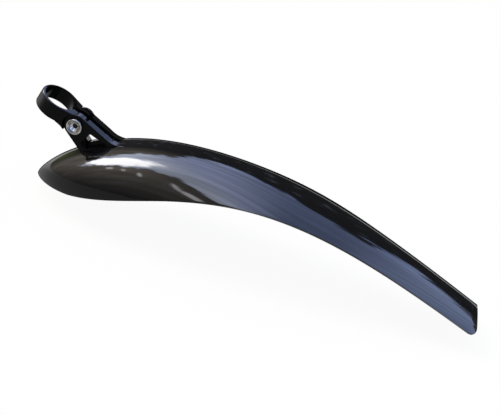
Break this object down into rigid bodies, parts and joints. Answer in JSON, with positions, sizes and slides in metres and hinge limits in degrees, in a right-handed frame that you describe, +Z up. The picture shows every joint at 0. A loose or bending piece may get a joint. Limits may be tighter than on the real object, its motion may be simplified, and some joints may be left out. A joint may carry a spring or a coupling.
{
  "type": "seat post mudguard",
  "caption": "Rear bicycle mudguard: hooded gloss-black blade on a windowed bracket that tilts on a bolt in a split seat-post clamp.",
  "frame": {"origin": "centre of the base of the bounding box, with the guard standing on the tip of its nose and the corners of its tail", "axes": "+X from the nose to the tail, +Y to the side of the nut, +Z up"},
  "size_m": [0.4472, 0.0966, 0.089],
  "materials": {
    "blade_gloss": "gloss black moulded polypropylene",
    "bracket_black": "satin black moulded nylon",
    "strap_black": "satin black moulded nylon",
    "bolt_steel": "zinc plated, fine turned face",
    "nut_steel": "zinc plated",
    "screw_steel": "zinc plated"
  },
  "bodies": {
    "clamp": {"clamp_strap": "strap_black"},
    "guard": {"blade": "blade_gloss", "mounting_bracket": "bracket_black", "bracket_screws": "screw_steel", "clamp_bolt": "bolt_steel", "clamp_nut": "nut_steel"}
  },
  "joints": [
    {"name": "guard_tilt", "type": "hinge", "parent": "clamp", "child": "guard", "pos_m": [-0.1811, 0, 0.0649], "axis": [0, -1, 0], "range_deg": [-3, 20]}
  ]
}
